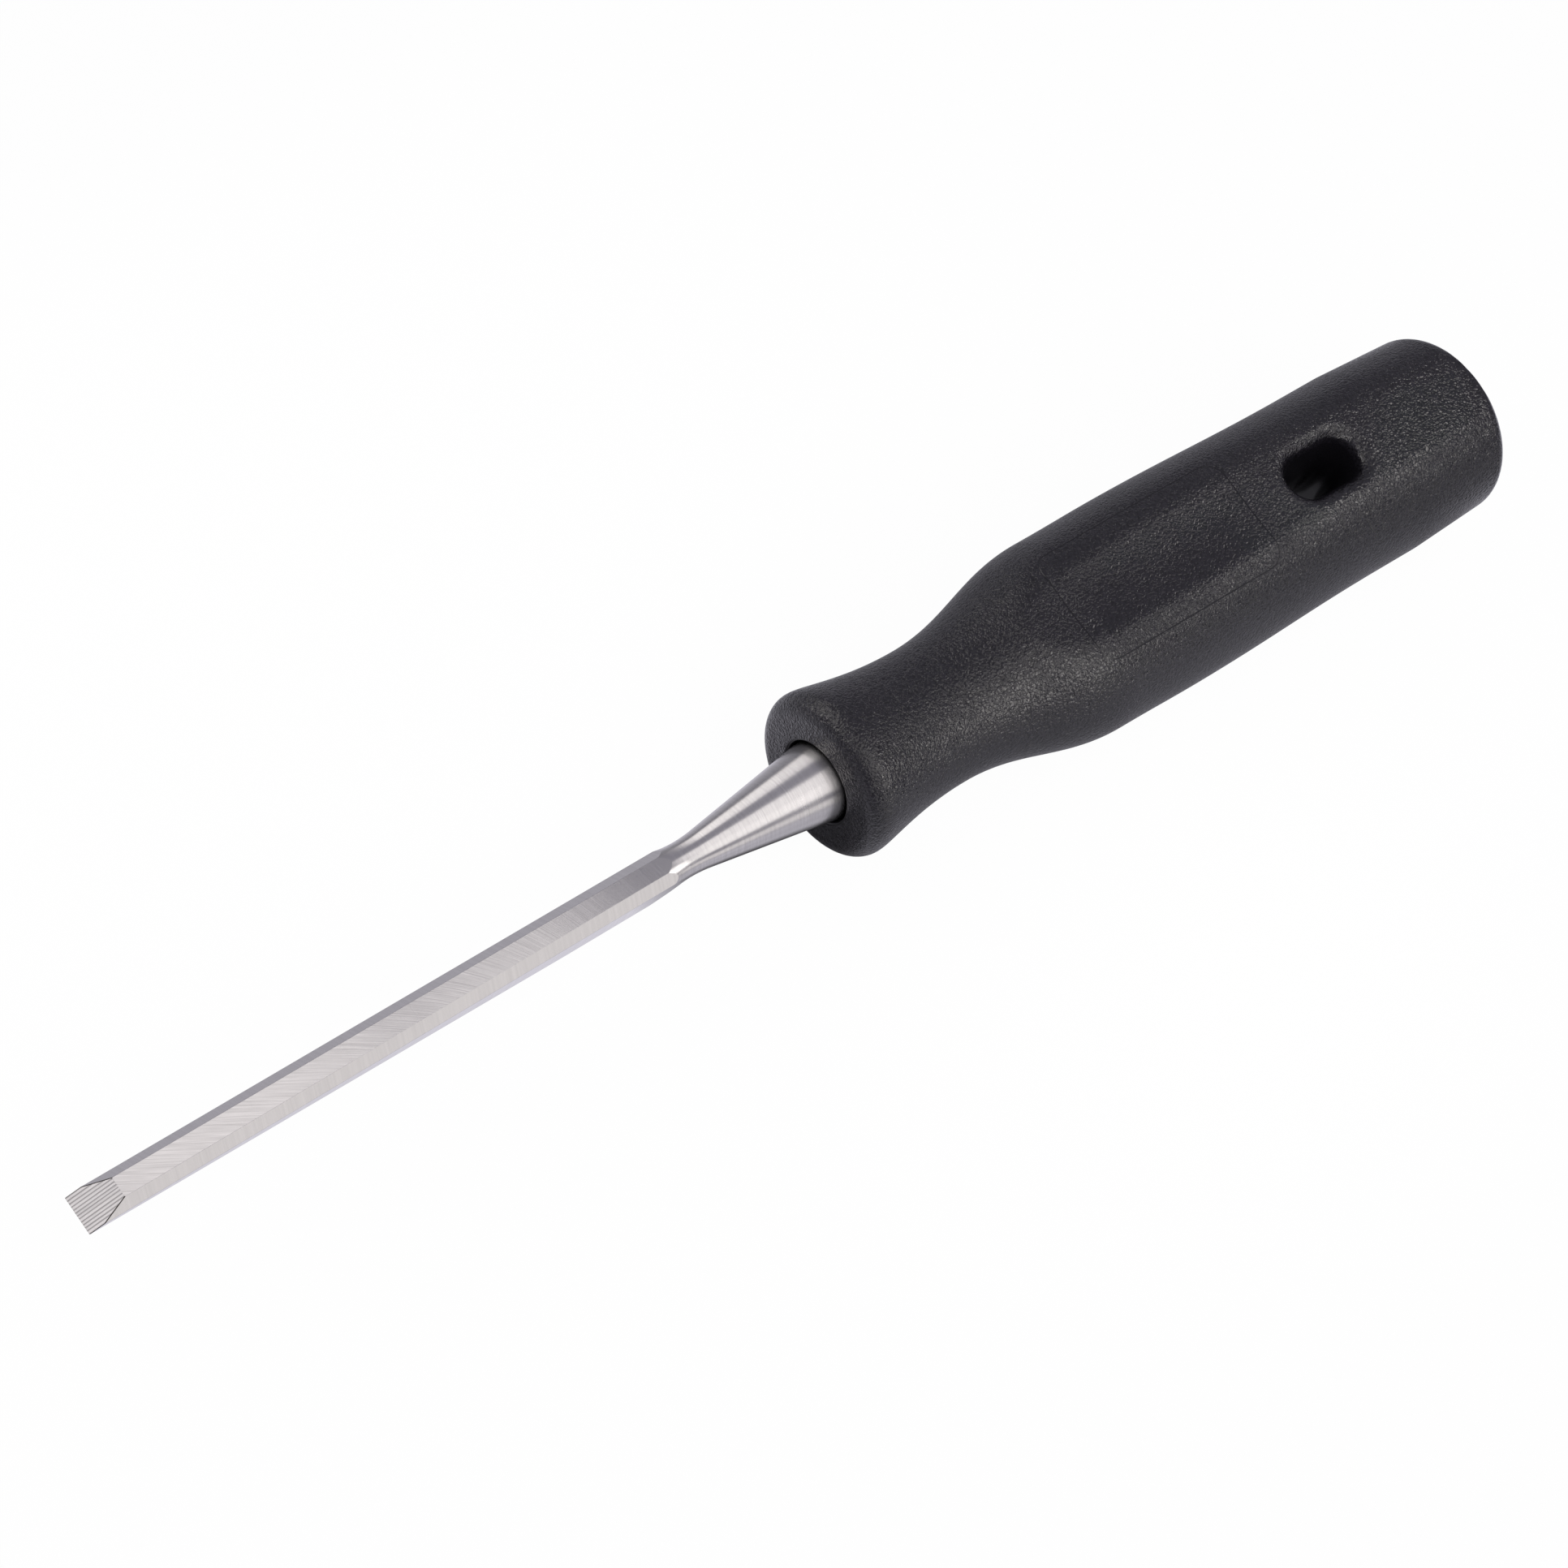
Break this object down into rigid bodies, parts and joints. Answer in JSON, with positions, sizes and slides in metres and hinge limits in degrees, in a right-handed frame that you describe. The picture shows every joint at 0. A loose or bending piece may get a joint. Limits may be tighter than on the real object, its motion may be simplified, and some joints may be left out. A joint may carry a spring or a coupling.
{
  "type": "wood chisel",
  "caption": "Bevel-edge wood chisel: narrow ground steel blade on a round neck and cone, tang pressed into a black plastic handle with flattened faces and a hang slot.",
  "frame": {"origin": "centre of the overall length and width, at the height of the handle's lower flattened face", "axes": "+X along the tool from the cutting edge to the butt, +Z from the blade's flat back to its bevelled side, +Y completes the right-handed frame"},
  "size_m": [0.2624, 0.0326, 0.0272],
  "materials": {
    "blade_steel": "ground faces, brushed neck",
    "handle_plastic": "fine moulded grain"
  },
  "bodies": {
    "root": {"blade": "blade_steel", "handle": "handle_plastic"}
  },
  "joints": []
}
